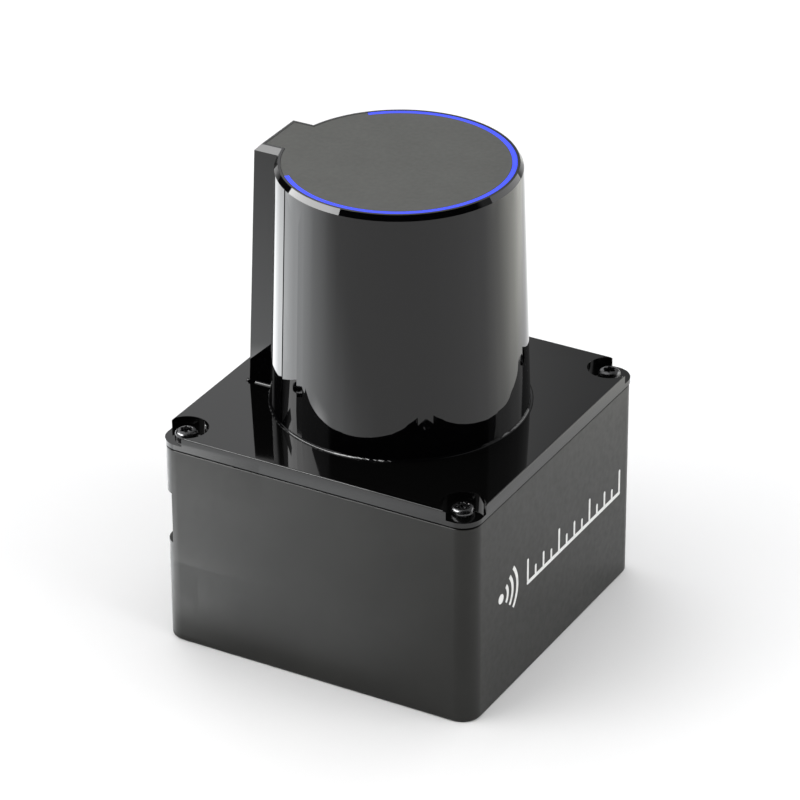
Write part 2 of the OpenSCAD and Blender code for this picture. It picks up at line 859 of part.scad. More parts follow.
module main_board_parts() {
    top = main_z + board_t;
    color("#26282b") {
        block([-7, 7], [-7, 7], [top, top + 1.4]);
        block([10, 18], [-4, 4], [top, top + 1.1]);
        block([-18, -11], [-14, -8], [top, top + 1]);
        block([-18, -12], [8, 14], [top, top + 1]);
        block([9, 15], [9, 15], [top, top + 0.9]);
        block([-5, 5], [12.5, 17.5], [top, top + 2.6]);
    }
}

module upper_board() {
    color("#1f5a3a") board(upper_z);
}

module upper_board_parts() {
    top = upper_z + board_t;
    color("#26282b") {
        for (s = [-1, 1]) block([-18.4, -12.6], [s * inlet_y - 3, s * inlet_y + 3], [top, top + 2.4]);
        block([-19, -16], [-flex_w / 2 + 0.1, flex_w / 2 - 0.1], [top, plug_z]);
        block([16.6, 19.4], [-3.6, 3.6], [top, plug_z]);
        block([-4, 4], [-17, -9], [top, top + 4.2]);
        block([6, 11], [-12, -7], [top, top + 1.2]);
        block([0, 9], [3, 12], [top, top + 5.4]);
        for (x = [-8, 14]) translate([x, 17, top]) cylinder(r = 3.1, h = 7.5);
        translate([14, -17, top]) cylinder(r = 3.1, h = 7.5);
    }
}

module board_standoffs() {
    color("#c9a35a") at_corners(board_px, board_py) translate([0, 0, main_z + board_t]) difference() {
        union() {
            cylinder(r = 2.6, h = upper_z - main_z - board_t, $fn = 6);
            translate([0, 0, -board_t - 4]) cylinder(r = 1, h = board_t + 4 + eps);
        }
        translate([0, 0, 1]) cylinder(r = m2_tap_r, h = 10);
    }
}

module board_screws() {
    color("#8a8c90") at_corners(board_px, board_py)
        translate([0, 0, upper_z + board_t]) pan_screw(m2_screw, board_t + 3.5);
}

module board_header() {
    low = main_z + board_t;
    color("#d2b45c") for (i = [-5:5]) translate([19.3, i * 2, low]) {
        translate([-0.9, -0.9, 0]) cube([1.8, 1.8, 2.5]);
        translate([-0.25, -0.25, 0]) cube([0.5, 0.5, upper_z - low]);
    }
}

// ---- Rear inlets and their wires -----------------------------------------------------------

// Puts a shape drawn along +Z, standing on the channel's face, onto the rear wall
module on_rear(side) {
    translate([-seat_x, side * inlet_y, inlet_z]) rotate([0, -90, 0]) children();
}

module inlet_body() {
    difference() {
        union() {
            translate([0, 0, -inlet_back]) cylinder(r = inlet_r, h = inlet_back + inlet_l);
            translate([0, 0, flange_z]) cylinder(r = flange_r, h = flange_t);
        }
        translate([0, 0, flange_z + flange_t]) ring(inlet_r + 1, relief_r, relief_w);
        translate([0, 0, bore_z]) cylinder(r = bore_r, h = inlet_l);
    }
}

module power_inlet() {
    color("#a9abae") on_rear(-1) inlet_body();
}

module power_pins() {
    color("#d2b45c") on_rear(-1) around(4, pin_p, 45)
        translate([0, 0, bore_z]) cylinder(r = pin_r, h = pin_l);
}

module data_inlet() {
    color("#a9abae") on_rear(1) inlet_body();
}

module data_insert() {
    color("#17181a") on_rear(1) difference() {
        translate([0, 0, bore_z]) cylinder(r = bore_r - slip, h = insert_l);
        around(4, pin_p, 45) translate([0, 0, bore_z + 1.6]) cylinder(r = pin_r, h = insert_l);
    }
}

module inlet_seals() {
    color("#3a3a3a") for (s = [-1, 1]) on_rear(s) ring(flange_r - 0.1, inlet_r + slip, flange_z);
}

module inlet_nuts() {
    color("#a9abae") for (s = [-1, 1]) on_rear(s) translate([0, 0, -(seat_x - pad_x) - nut_t])
        rotate([0, 0, 30]) difference() {
            cylinder(r = 5.6, h = nut_t, $fn = 6);
            translate([0, 0, -1]) cylinder(r = inlet_r + slip, h = nut_t + 2);
        }
}

// A wire that leaves an inlet along +X, turns down in a quarter circle and enters its header
module wire(y, z, x_turn) {
    wire_r = 0.45;
    bend_r = 1.6;
    x_start = -(seat_x - inlet_back);
    bottom = upper_z + board_t + 2.4;
    translate([x_start, y, z]) rotate([0, 90, 0]) cylinder(r = wire_r, h = x_turn - bend_r - x_start);
    translate([x_turn - bend_r, y, z - bend_r]) rotate([90, 0, 0]) rotate_extrude(angle = 90)
        translate([bend_r, 0]) circle(wire_r);
    translate([x_turn, y, bottom]) cylinder(r = wire_r, h = z - bend_r - bottom);
}

module harness_wires() {
    color("#b03a2e") for (s = [-1, 1], dy = [-1.6, 1.6]) {
        wire(s * inlet_y + dy, inlet_z + 1.6, -13.8);
        wire(s * inlet_y + dy, inlet_z - 1.2, -16.8);
    }
}

// ---- Nodes ---------------------------------------------------------------------------------

base_housing();
lid();
lid_gasket();
lid_screws();
hood_window();
hood_seal();
hood_screws();
top_cap();
light_ring();
head_board();
head_chips();
ring_leds();
head_shield();
head_screws();
detector();
optics_housing();
receiver_lens();
lens_retainer();
laser_tube();
laser_diode();
collimator_lens();
laser_flex();
head_flex();
bracket_screws();
chassis_plate();
chassis_screws();
bearing_holder();
motor_screws();
motor_board();
hall_sensors();
motor_flex();
stator_core();
stator_coils();
outer_races();
encoder_sensor();
upper_board();
upper_board_parts();
main_board();
main_board_parts();
board_standoffs();
board_screws();
board_header();
harness_wires();
power_inlet();
power_pins();
data_inlet();
data_insert();
inlet_seals();
inlet_nuts();
rotor_shaft();
rotor_bell();
ring_magnet();
mirror_hub();
mirror();
encoder_disc();
balance_weight();
shaft_clip();
inner_races();
upper_ball_cage();
lower_ball_cage();
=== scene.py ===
"""Looks of a compact lidar scanner: detailed outer shells, procedural materials, studio and camera.

Metres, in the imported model's frame: +Z up along the mirror's axis, +X the middle of the scanned
sector, origin at the centre of the housing's underside.
"""
import json
import math

import bmesh
import bpy
from mathutils import Matrix, Quaternion, Vector


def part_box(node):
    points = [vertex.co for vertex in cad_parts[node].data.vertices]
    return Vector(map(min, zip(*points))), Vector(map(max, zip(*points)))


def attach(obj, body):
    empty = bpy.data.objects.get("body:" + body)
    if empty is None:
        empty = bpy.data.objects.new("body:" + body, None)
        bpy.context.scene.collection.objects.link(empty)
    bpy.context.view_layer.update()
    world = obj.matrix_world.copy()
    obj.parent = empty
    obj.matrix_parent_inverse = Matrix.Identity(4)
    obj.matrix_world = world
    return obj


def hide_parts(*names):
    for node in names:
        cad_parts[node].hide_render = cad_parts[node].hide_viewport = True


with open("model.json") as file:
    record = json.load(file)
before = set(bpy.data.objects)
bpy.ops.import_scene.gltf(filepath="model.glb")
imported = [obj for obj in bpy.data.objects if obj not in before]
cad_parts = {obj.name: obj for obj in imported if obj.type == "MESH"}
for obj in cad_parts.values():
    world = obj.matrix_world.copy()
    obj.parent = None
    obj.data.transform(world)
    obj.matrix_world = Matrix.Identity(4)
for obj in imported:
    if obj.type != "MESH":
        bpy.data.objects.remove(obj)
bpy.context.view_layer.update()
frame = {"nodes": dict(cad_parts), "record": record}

MM = 0.001
NODES = frame["nodes"]

# ---- Places and sizes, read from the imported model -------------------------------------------

BASE_LOW, BASE_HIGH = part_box("base_housing")
LID_LOW, LID_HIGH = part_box("lid")
CAP_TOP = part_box("top_cap")[1].z
RING_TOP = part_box("light_ring")[1].z
SCREW_LOW, SCREW_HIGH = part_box("lid_screws")
LID_TOP = LID_HIGH.z
FRONT_X = BASE_HIGH.x
WALL_REACH = BASE_HIGH.y
SEAM_HEIGHT = 0.25 * MM
NEAR = 0.05 * MM  # how close to a level still counts as being on it

# ---- Mesh helpers ---------------------------------------------------------------------------

WELD_DISTANCE = 2e-6
FLAT_DEG = 0.4  # facets that meet at less than this are one face
CORNER_DEG = 25  # edges sharper than this can be rounded


def finish_mesh(obj, sharp_deg=32.0):
    """Smooth shading: edges above the angle stay sharp, and large faces lead the normals."""
    mesh = obj.data
    for polygon in mesh.polygons:
        polygon.use_smooth = True
    mesh.set_sharp_from_angle(angle=math.radians(sharp_deg))
    weighted = obj.modifiers.new("flat_faces", "WEIGHTED_NORMAL")
    weighted.keep_sharp = True
    weighted.weight = 100


def add_object(name, mesh, body="housing"):
    obj = bpy.data.objects.new(name, mesh)
    bpy.context.scene.collection.objects.link(obj)
    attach(obj, body)
    return obj


def mesh_from(name, verts, faces):
    mesh = bpy.data.meshes.new(name)
    mesh.from_pydata([tuple(v) for v in verts], [], faces)
    mesh.validate()
    bm = bmesh.new()
    bm.from_mesh(mesh)
    bmesh.ops.recalc_face_normals(bm, faces=bm.faces)
    bm.to_mesh(mesh)
    bm.free()
    return mesh


def rounded_copy(node, name, rounds, clamp=True, sharp_deg=32.0):
    """A copy of a CAD node's surface whose chosen sharp edges are rounded.

    rounds is a list of (test, radius, segments), worked through in order. A test takes an edge's
    middle point and the edge itself.
    """
    bm = bmesh.new()
    bm.from_mesh(NODES[node].data)
    bmesh.ops.remove_doubles(bm, verts=bm.verts, dist=WELD_DISTANCE)
    bmesh.ops.dissolve_limit(
        bm, angle_limit=math.radians(FLAT_DEG), verts=bm.verts, edges=bm.edges, delimit=set()
    )
    bmesh.ops.recalc_face_normals(bm, faces=bm.faces)
    for test, radius, segments in rounds:
        bm.normal_update()
        chosen = [
            e for e in bm.edges
            if len(e.link_faces) == 2
            and e.calc_face_angle(0) > math.radians(CORNER_DEG)
            and test((e.verts[0].co + e.verts[1].co) / 2, e)
        ]
        if chosen:
            bmesh.ops.bevel(
                bm, geom=chosen, offset=radius, offset_type="OFFSET", segments=segments,
                profile=0.5, affect="EDGES", clamp_overlap=clamp, miter_outer="ARC",
            )
    mesh = bpy.data.meshes.new(name)
    bm.to_mesh(mesh)
    bm.free()
    obj = add_object(name, mesh)
    finish_mesh(obj, sharp_deg)
    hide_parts(node)
    return obj


# ---- Outer shells ---------------------------------------------------------------------------


def reach(p):
    """How far a point is from the axis, measured square to the housing's walls."""
    return max(abs(p.x), abs(p.y))


def on_outside_wall(p):
    return reach(p) > WALL_REACH - 2.4 * MM


def build_housing():
    channel_low = 15 * MM
    channel_high = 32 * MM
    channel_front = BASE_LOW.x + 3.2 * MM

    def bottom_edge(p, e):
        return p.z < BASE_LOW.z + NEAR and on_outside_wall(p)

    def rim_edge(p, e):
        return p.z > BASE_HIGH.z - NEAR and reach(p) > WALL_REACH - 1.1 * MM and e.is_convex

    def channel_edge(p, e):
        return channel_low < p.z < channel_high and p.x < channel_front and e.is_convex

    return rounded_copy(
        "base_housing", "housing_shell",
        [(bottom_edge, 0.45 * MM, 4), (rim_edge, 0.08 * MM, 1), (channel_edge, 0.2 * MM, 3)],
    )


def build_lid():
    groove_top = LID_LOW.z + SEAM_HEIGHT

    def outer_top_edge(p, e):
        return p.z > LID_TOP - NEAR and reach(p) > LID_HIGH.y - 0.3 * MM

    def pocket_edge(p, e):
        at_screws = min(abs(p.x), abs(p.y)) > LID_HIGH.y - 9 * MM
        return p.z > LID_TOP - NEAR and at_screws and e.is_convex

    def lower_edge(p, e):
        return abs(p.z - groove_top) < NEAR and on_outside_wall(p) and e.is_convex

    return rounded_copy(
        "lid", "lid_plate",
        [(outer_top_edge, 0.2 * MM, 1), (pocket_edge, 0.06 * MM, 2), (lower_edge, 0.15 * MM, 1)],
        clamp=False,
    )


def build_hood():
    def outer_edge(p, e):
        return p.z > LID_TOP + 1.0 * MM and e.is_convex

    # a low angle, so that the fin's flat sides do not borrow the fillet's normals
    return rounded_copy("hood_window", "hood", [(outer_edge, 0.09 * MM, 2)], sharp_deg=9.0)


def build_topped(node, name, top):
    """A copy of a flat piece in the hood's top, its upper edges rounded."""
    def top_edge(p, e):
        return p.z > top - NEAR and e.is_convex

    return rounded_copy(node, name, [(top_edge, 0.08 * MM, 2)])


housing = build_housing()
lid = build_lid()
hood = build_hood()
cap = build_topped("top_cap", "cap", CAP_TOP)
ring = build_topped("light_ring", "sector_light", RING_TOP)

# ---- Lid screws, connectors and the printed mark --------------------------------------------


def lathe_rings(verts, faces, rings, turns):
    """Joins rings of points, each a function of the angle, into one skin."""
    start = len(verts)
    for place in rings:
        verts.extend(place(2 * math.pi * k / turns) for k in range(turns))
    for r in range(len(rings) - 1):
        for k in range(turns):
            a = start + r * turns + k
            b = start + r * turns + (k + 1) % turns
            faces.append((a, b, b + turns, a + turns))
    return start


def close_ring(verts, faces, first, turns, centre):
    """A fan from a ring of points to one point in its middle."""
    verts.append(centre)
    tip = len(verts) - 1
    for k in range(turns):
        faces.append((first + k, first + (k + 1) % turns, tip))


def build_lid_screws():
    """Pan heads with rounded shoulders, a six-lobed recess and a threaded shank."""
    turns = 60
    head_r = 2.0 * MM
    head_side = 0.42 * MM
    crown_rise = 0.86 * MM
    crown_inset = 0.78 * MM
    crown_steps = 9
    lobe_depth = 0.13
    shank_r = 0.99 * MM
    core_r = 0.9 * shank_r
    thread_depth = 0.16 * MM
    pitch = 0.4 * MM
    thread_step = pitch / 4
    top = SCREW_HIGH.z
    tip = SCREW_LOW.z
    seat = top - 1.3 * MM
    thread_rings = int((seat - tip - 0.5 * MM) / thread_step)
    corner = (SCREW_HIGH.x - head_r, SCREW_HIGH.y - head_r)
    verts = []
    faces = []

    def round_ring(cx, cy, radius, z):
        return lambda t: (cx + radius * math.cos(t), cy + radius * math.sin(t), z)

    def lobe_ring(cx, cy, radius, z):
        def point(t):
            out = radius * (1 + lobe_depth * math.cos(6 * t))
            return (cx + out * math.cos(t), cy + out * math.sin(t), z)
        return point

    def thread_ring(cx, cy, z):
        def point(t):
            phase = (z / pitch + t / (2 * math.pi)) % 1.0
            radius = shank_r - thread_depth * abs(2 * phase - 1)
            return (cx + radius * math.cos(t), cy + radius * math.sin(t), z)
        return point

    def screw_rings(cx, cy):
        """The rings of one screw, from its tip, over the head, to the floor of the recess."""
        rings = [round_ring(cx, cy, 0.72 * shank_r, tip)]
        for k in range(thread_rings):
            rings.append(thread_ring(cx, cy, tip + 0.2 * MM + k * thread_step))
        rings += [
            round_ring(cx, cy, core_r, seat - 0.15 * MM),
            round_ring(cx, cy, core_r, seat),
            round_ring(cx, cy, 0.97 * head_r, seat),
            round_ring(cx, cy, head_r, seat + 0.05 * MM),
            round_ring(cx, cy, head_r, seat + head_side),
        ]
        for k in range(1, crown_steps):
            swing = math.radians(90 * k / crown_steps)
            radius = head_r - crown_inset * (1 - math.cos(swing))
            rings.append(round_ring(cx, cy, radius, seat + head_side + crown_rise * math.sin(swing)))
        return rings + [
            round_ring(cx, cy, 1.22 * MM, top),
            lobe_ring(cx, cy, 1.04 * MM, top),
            lobe_ring(cx, cy, 0.98 * MM, top - 0.06 * MM),
            lobe_ring(cx, cy, 0.94 * MM, top - 0.72 * MM),
            round_ring(cx, cy, 0.45 * MM, top - 0.84 * MM),
        ]

    for sx in (-1, 1):
        for sy in (-1, 1):
            cx = sx * corner[0]
            cy = sy * corner[1]
            rings = screw_rings(cx, cy)
            first = lathe_rings(verts, faces, rings, turns)
            close_ring(verts, faces, first, turns, (cx, cy, tip))
            last = first + (len(rings) - 1) * turns
            close_ring(verts, faces, last, turns, (cx, cy, top - 0.9 * MM))
    obj = add_object("lid_screw_set", mesh_from("lid_screw_set", verts, faces))
    finish_mesh(obj, 40.0)
    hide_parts("lid_screws")
    return obj


def build_inlet(node, name):
    """The turned connector shell, its plain barrel cut back and given a helical thread."""
    low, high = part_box(node)
    turns = 64
    pitch = 1.0 * MM
    crest_r = 4.0 * MM
    core_r = 3.46 * MM
    cut_back_end = low.x + 5.3 * MM  # just past the near edge of the relief groove
    start_x = low.x + 0.12 * MM
    length = 5.0 * MM
    count = 50
    run_out = 4  # rings over which the thread rises and falls away
    # the flange is the widest part, so the axis is in the middle of the box
    axis_y = (low.y + high.y) / 2
    axis_z = (low.z + high.z) / 2
    bm = bmesh.new()
    bm.from_mesh(NODES[node].data)
    for v in bm.verts:
        out = math.hypot(v.co.y - axis_y, v.co.z - axis_z)
        if abs(out - crest_r) < 0.06 * MM and v.co.x < cut_back_end:
            v.co.y = axis_y + (v.co.y - axis_y) * core_r / out
            v.co.z = axis_z + (v.co.z - axis_z) * core_r / out
    mesh = bpy.data.meshes.new(name)
    bm.to_mesh(mesh)
    bm.free()
    verts = []
    faces = []

    def ring(k):
        x = start_x + length * k / count
        edge = min(1.0, min(k, count - k) / run_out)

        def point(t):
            phase = (x / pitch + t / (2 * math.pi)) % 1.0
            rise = min(1.0, 2.6 * max(0.0, 0.5 - abs(phase - 0.5)) + 0.02)
            radius = core_r - 0.03 * MM + (crest_r - core_r) * rise * edge
            return (x, axis_y + radius * math.cos(t), axis_z + radius * math.sin(t))
        return point

    lathe_rings(verts, faces, [ring(k) for k in range(count + 1)], turns)
    thread = mesh_from(name + "_thread", verts, faces)
    joined = bmesh.new()
    joined.from_mesh(mesh)
    joined.from_mesh(thread)
    joined.to_mesh(mesh)
    joined.free()
    bpy.data.meshes.remove(thread)
    obj = add_object(name, mesh)
    finish_mesh(obj, 38.0)
    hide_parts(node)
    return obj


def build_printed_mark():
    """A plain printed symbol: the scanned sector as arcs about a dot, then a range scale."""
    ink = 0.025 * MM
    base_x = FRONT_X - 0.005 * MM
    base_y = -19.6 * MM
    base_z = 19.4 * MM
    verts = []
    faces = []

    def slab(outline):
        """A thin raised patch with the outline given as points across and up the face."""
        start = len(verts)
        n = len(outline)
        verts.extend((base_x, base_y + y, base_z + z) for y, z in outline)
        verts.extend((base_x + ink, base_y + y, base_z + z) for y, z in outline)
        faces.append(tuple(start + k for k in range(n)))
        faces.append(tuple(start + n + k for k in reversed(range(n))))
        for k in range(n):
            j = (k + 1) % n
            faces.append((start + k, start + n + k, start + n + j, start + j))

    def bar(y0, z0, y1, z1, width):
        """A straight stroke with rounded ends."""
        angle = math.atan2(z1 - z0, y1 - y0)
        outline = []
        for cy, cz, turn in ((y1, z1, -0.5), (y0, z0, 0.5)):
            for k in range(9):
                a = angle + math.pi * (turn + k / 8)
                outline.append((cy + width / 2 * math.cos(a), cz + width / 2 * math.sin(a)))
        slab(outline)

    def tick(y, bottom, top):
        """An upright stroke standing on the scale's line, round at its top."""
        half = tick_width / 2
        outline = [(y - half, bottom), (y + half, bottom)]
        for k in range(9):
            a = math.pi * k / 8
            outline.append((y + half * math.cos(a), top + half * math.sin(a)))
        slab(outline)

    def on_circle(radius, angle):
        return (radius * math.cos(angle), radius * math.sin(angle))

    def arc(radius, width, half_angle):
        """A curved stroke about the dot, laid as short slabs."""
        steps = 20
        angles = [math.radians(half_angle * (2 * k / steps - 1)) for k in range(steps + 1)]
        inner = radius - width / 2
        outer = radius + width / 2
        for a, b in zip(angles, angles[1:]):
            slab([on_circle(outer, a), on_circle(outer, b), on_circle(inner, b), on_circle(inner, a)])

    stroke = 0.72 * MM
    tick_width = 0.6 * MM
    dot_radius = 0.9 * MM
    arc_radii = (2.4 * MM, 4.1 * MM, 5.8 * MM)
    scale_start = 9.6 * MM
    scale_step = 2.85 * MM
    scale_steps = 12
    scale_line = -1.9 * MM
    tick_heights = (4.4 * MM, 1.9 * MM, 2.9 * MM, 1.9 * MM)
    slab([on_circle(dot_radius, math.pi * k / 12) for k in range(24)])
    for radius in arc_radii:
        arc(radius, stroke, 42)
    bar(scale_start, scale_line, scale_start + scale_step * scale_steps, scale_line, stroke)
    for k in range(scale_steps + 1):
        top = scale_line + tick_heights[k % len(tick_heights)]
        tick(scale_start + scale_step * k, scale_line + stroke / 2, top)
    obj = add_object("printed_mark", mesh_from("printed_mark", verts, faces))
    for polygon in obj.data.polygons:
        polygon.use_smooth = False
    return obj


lid_screws = build_lid_screws()
power_shell = build_inlet("power_inlet", "power_shell")
data_shell = build_inlet("data_inlet", "data_shell")
printed_mark = build_printed_mark()

# ---- Materials ------------------------------------------------------------------------------


class Shader:
    """One Principled material with procedural detail from the object's own coordinates."""

    def __init__(self, name, color, roughness, metallic=0.0, ior=1.5):
        self.mat = bpy.data.materials.new(name)
        self.mat.use_nodes = True
        self.tree = self.mat.node_tree
        self.bsdf = self.tree.nodes["Principled BSDF"]
        self.bsdf.inputs["Base Color"].default_value = (*color, 1.0)
        self.bsdf.inputs["Roughness"].default_value = roughness
        self.bsdf.inputs["Metallic"].default_value = metallic
        self.bsdf.inputs["IOR"].default_value = ior
        self.mat.diffuse_color = (*color, 1.0)
        self.coords = self.tree.nodes.new("ShaderNodeTexCoord").outputs["Object"]
        self.last_bump = None

    def node(self, kind, **values):
        made = self.tree.nodes.new(kind)
        for key, value in values.items():
            if key in made.inputs:
                made.inputs[key].default_value = value
            else:
                setattr(made, key, value)
        return made

    def link(self, source, target):
        self.tree.links.new(source, target)

    def noise(self, size, detail=3.0, stretch=(1, 1, 1)):
        """Noise whose blobs are about size metres across."""
        mapping = self.node("ShaderNodeMapping")
        mapping.inputs["Scale"].default_value = tuple(s / size for s in stretch)
        self.link(self.coords, mapping.inputs["Vector"])
        made = self.node("ShaderNodeTexNoise", Scale=1.0, Detail=detail)
        self.link(mapping.outputs["Vector"], made.inputs["Vector"])
        return made.outputs["Fac"]

    def remap(self, value, low, high, from_low=0.3, from_high=0.7):
        made = self.node("ShaderNodeMapRange")
        made.inputs["From Min"].default_value = from_low
        made.inputs["From Max"].default_value = from_high
        made.inputs["To Min"].default_value = low
        made.inputs["To Max"].default_value = high
        self.link(value, made.inputs["Value"])
        return made.outputs["Result"]

    def vary_roughness(self, size, low, high, stretch=(1, 1, 1)):
        self.link(self.remap(self.noise(size, 4.0, stretch), low, high), self.bsdf.inputs["Roughness"])
        return self

    def blend_color(self, factor, color_a, color_b):
        """The base colour runs from one colour to the other with the factor."""
        mix = self.node("ShaderNodeMix", data_type="RGBA")
        color_sockets = [s for s in mix.inputs if s.type == "RGBA"]
        color_sockets[0].default_value = (*color_a, 1.0)
        color_sockets[1].default_value = (*color_b, 1.0)
        self.link(factor, mix.inputs["Factor"])
        output = [s for s in mix.outputs if s.type == "RGBA"][0]
        self.link(output, self.bsdf.inputs["Base Color"])
        return self

    def vary_color(self, size, color_a, color_b, stretch=(1, 1, 1)):
        factor = self.remap(self.noise(size, 4.0, stretch), 0.0, 1.0)
        return self.blend_color(factor, color_a, color_b)

    def bump(self, height, distance, strength=1.0):
        made = self.node("ShaderNodeBump", Strength=strength, Distance=distance)
        self.link(height, made.inputs["Height"])
        if self.last_bump:
            self.link(self.last_bump, made.inputs["Normal"])
        self.last_bump = made.outputs["Normal"]
        self.link(self.last_bump, self.bsdf.inputs["Normal"])
        return self

    def grain(self, size, distance, strength=1.0, detail=3.0, stretch=(1, 1, 1)):
        return self.bump(self.noise(size, detail, stretch), distance, strength)

    def set(self, **values):
        for key, value in values.items():
            self.bsdf.inputs[key.replace("_", " ")].default_value = value
        return self


def dress(obj, material):
    obj.data.materials.clear()
    obj.data.materials.append(material)


def satin_plastic():
    s = Shader("satin_black_plastic", (0.011, 0.011, 0.0095), 0.36, ior=1.37)
    s.vary_color(9 * MM, (0.009, 0.009, 0.0075), (0.013, 0.013, 0.0112))
    s.vary_roughness(1.1 * MM, 0.31, 0.40)
    s.grain(0.28 * MM, 0.004 * MM, 0.6)
    return s.mat


def gloss_plastic(name, color, roughness, ior=1.5):
    s = Shader(name, color, roughness, ior=ior)
    s.vary_roughness(7 * MM, roughness * 0.8, roughness * 1.3)
    s.grain(16 * MM, 0.006 * MM, 0.25, 1.0)
    return s.mat


def matte_cap():
    s = Shader("matte_cap", (0.062, 0.063, 0.058), 0.62)
    s.vary_color(6 * MM, (0.058, 0.059, 0.054), (0.066, 0.067, 0.062))
    s.vary_roughness(0.8 * MM, 0.56, 0.68)
    s.grain(0.22 * MM, 0.006 * MM, 0.6)
    return s.mat


def light_guide():
    s = Shader("light_guide", (0.02, 0.03, 0.30), 0.45)
    s.vary_color(4 * MM, (0.015, 0.025, 0.28), (0.025, 0.035, 0.33))
    s.grain(0.4 * MM, 0.004 * MM, 0.5)
    s.set(Emission_Color=(0.055, 0.085, 1.0, 1.0), Emission_Strength=1.0, Specular_IOR_Level=0.1)
    return s.mat


dress(housing, satin_plastic())
dress(lid, gloss_plastic("polished_lid", (0.002, 0.002, 0.002), 0.03))
dress(hood, gloss_plastic("infrared_window", (0.001, 0.001, 0.0012), 0.02, 1.45))
dress(cap, matte_cap())
dress(ring, light_guide())


# painted shade: a near-black matte finish that stands for the shadow in the seam's groove, not a real
# rubber part
def painted_seam_shade():
    s = Shader("painted_seam_shade", (0.004, 0.004, 0.004), 0.9)
    s.vary_roughness(0.5 * MM, 0.82, 0.95)
    s.grain(0.1 * MM, 0.004 * MM, 0.6)
    s.set(Specular_IOR_Level=0.05)
    return s.mat


def paint_seam_shade():
    """Painted shade: a dark finish on the seam's faces stands for the shadow in the narrow groove, which
    rendered too pale for the photo. It is no real piece.
    """
    dark = painted_seam_shade()
    step_top = LID_LOW.z + 0.22 * MM
    rim = BASE_HIGH.z - 0.02 * MM
    lid.data.materials.append(dark)
    for polygon in lid.data.polygons:
        upright = abs(polygon.normal.z) < 0.5
        at_seam = polygon.center.z < step_top and reach(polygon.center) > WALL_REACH - 1.5 * MM
        if upright and at_seam:
            polygon.material_index = 1
    # the housing's rim ledge inside the groove gets the same painted shade
    housing.data.materials.append(dark)
    for polygon in housing.data.polygons:
        if polygon.center.z > rim and polygon.normal.z > 0.9:
            polygon.material_index = 1


paint_seam_shade()


def black_screw_steel():
    s = Shader("black_oxide_steel", (0.12, 0.12, 0.122), 0.24, metallic=1.0)
    s.vary_color(0.9 * MM, (0.08, 0.08, 0.081), (0.16, 0.16, 0.163))
    s.vary_roughness(0.5 * MM, 0.17, 0.33)
    s.grain(0.15 * MM, 0.003 * MM, 0.6)
    return s.mat


def white_ink():
    s = Shader("white_ink", (0.86, 0.86, 0.84), 0.5)
    s.vary_color(1.2 * MM, (0.80, 0.80, 0.78), (0.90, 0.90, 0.885))
    s.vary_roughness(0.4 * MM, 0.42, 0.58)
    s.grain(0.12 * MM, 0.002 * MM, 0.5)
    return s.mat


def rubber():
    s = Shader("moulded_rubber", (0.02, 0.02, 0.02), 0.78)
    s.vary_color(1.5 * MM, (0.014, 0.014, 0.014), (0.028, 0.028, 0.028))
    s.vary_roughness(0.6 * MM, 0.68, 0.88)
    s.grain(0.1 * MM, 0.006 * MM, 0.8)
    return s.mat


def metal(name, dark, light, rough_low, rough_high, stretch=(1, 1, 1), depth=0.002):
    """Bare or plated metal: tone, polish and tool marks vary over it."""
    middle = tuple((a + b) / 2 for a, b in zip(dark, light))
    s = Shader(name, middle, (rough_low + rough_high) / 2, metallic=1.0)
    s.vary_color(1.8 * MM, dark, light, stretch)
    s.vary_roughness(0.7 * MM, rough_low, rough_high, stretch)
    s.grain(0.12 * MM, depth * MM, 0.6, 3.0, stretch)
    return s.mat


def circuit_board():
    """Green solder mask over raised copper tracks and a faint glass weave."""
    s = Shader("circuit_board", (0.02, 0.12, 0.05), 0.38)
    tracks = s.remap(s.noise(1.1 * MM, 0.0, (1, 0.16, 1)), 0.0, 1.0, 0.50, 0.53)
    weave = s.noise(0.16 * MM, 2.0, (1, 4, 1))
    s.blend_color(tracks, (0.012, 0.085, 0.036), (0.030, 0.155, 0.062))
    s.vary_roughness(0.9 * MM, 0.30, 0.46)
    s.bump(tracks, 0.03 * MM, 0.7)
    s.bump(weave, 0.005 * MM, 0.4)
    return s.mat


def moulded(name, dark, light, rough_low, rough_high, size=0.2, depth=0.006):
    middle = tuple((a + b) / 2 for a, b in zip(dark, light))
    s = Shader(name, middle, (rough_low + rough_high) / 2)
    s.vary_color(1.6 * MM, dark, light)
    s.vary_roughness(0.7 * MM, rough_low, rough_high)
    s.grain(size * MM, depth * MM, 0.6)
    return s.mat


def coated_glass():
    s = Shader("coated_glass", (0.86, 0.93, 0.95), 0.02, ior=1.52)
    s.vary_color(3 * MM, (0.84, 0.92, 0.95), (0.90, 0.94, 0.93))
    s.vary_roughness(1.5 * MM, 0.012, 0.035)
    s.grain(4 * MM, 0.002 * MM, 0.1, 1.0)
    s.set(Transmission_Weight=0.9)
    return s.mat


def flex_circuit():
    """Amber film with thin copper lines showing through."""
    s = Shader("flex_circuit", (0.55, 0.26, 0.06), 0.34)
    s.vary_color(0.55 * MM, (0.44, 0.19, 0.04), (0.66, 0.34, 0.09), (0.2, 1, 0.2))
    s.vary_roughness(0.8 * MM, 0.26, 0.44)
    s.grain(0.5 * MM, 0.006 * MM, 0.4, 1.0, (0.2, 1, 0.2))
    return s.mat


def windings():
    """Enamelled wire laid side by side."""
    s = Shader("windings", (0.6, 0.24, 0.08), 0.32, metallic=0.85)
    s.vary_color(0.7 * MM, (0.48, 0.17, 0.05), (0.70, 0.30, 0.11))
    s.vary_roughness(0.5 * MM, 0.24, 0.42)
    turns = s.node("ShaderNodeTexWave", Scale=1.0, Distortion=0.6)
    turns.bands_direction = "Z"
    mapping = s.node("ShaderNodeMapping")
    mapping.inputs["Scale"].default_value = (1 / (3.2 * MM),) * 3
    s.link(s.coords, mapping.inputs["Vector"])
    s.link(mapping.outputs["Vector"], turns.inputs["Vector"])
    s.bump(turns.outputs["Fac"], 0.08 * MM, 0.8)
    return s.mat


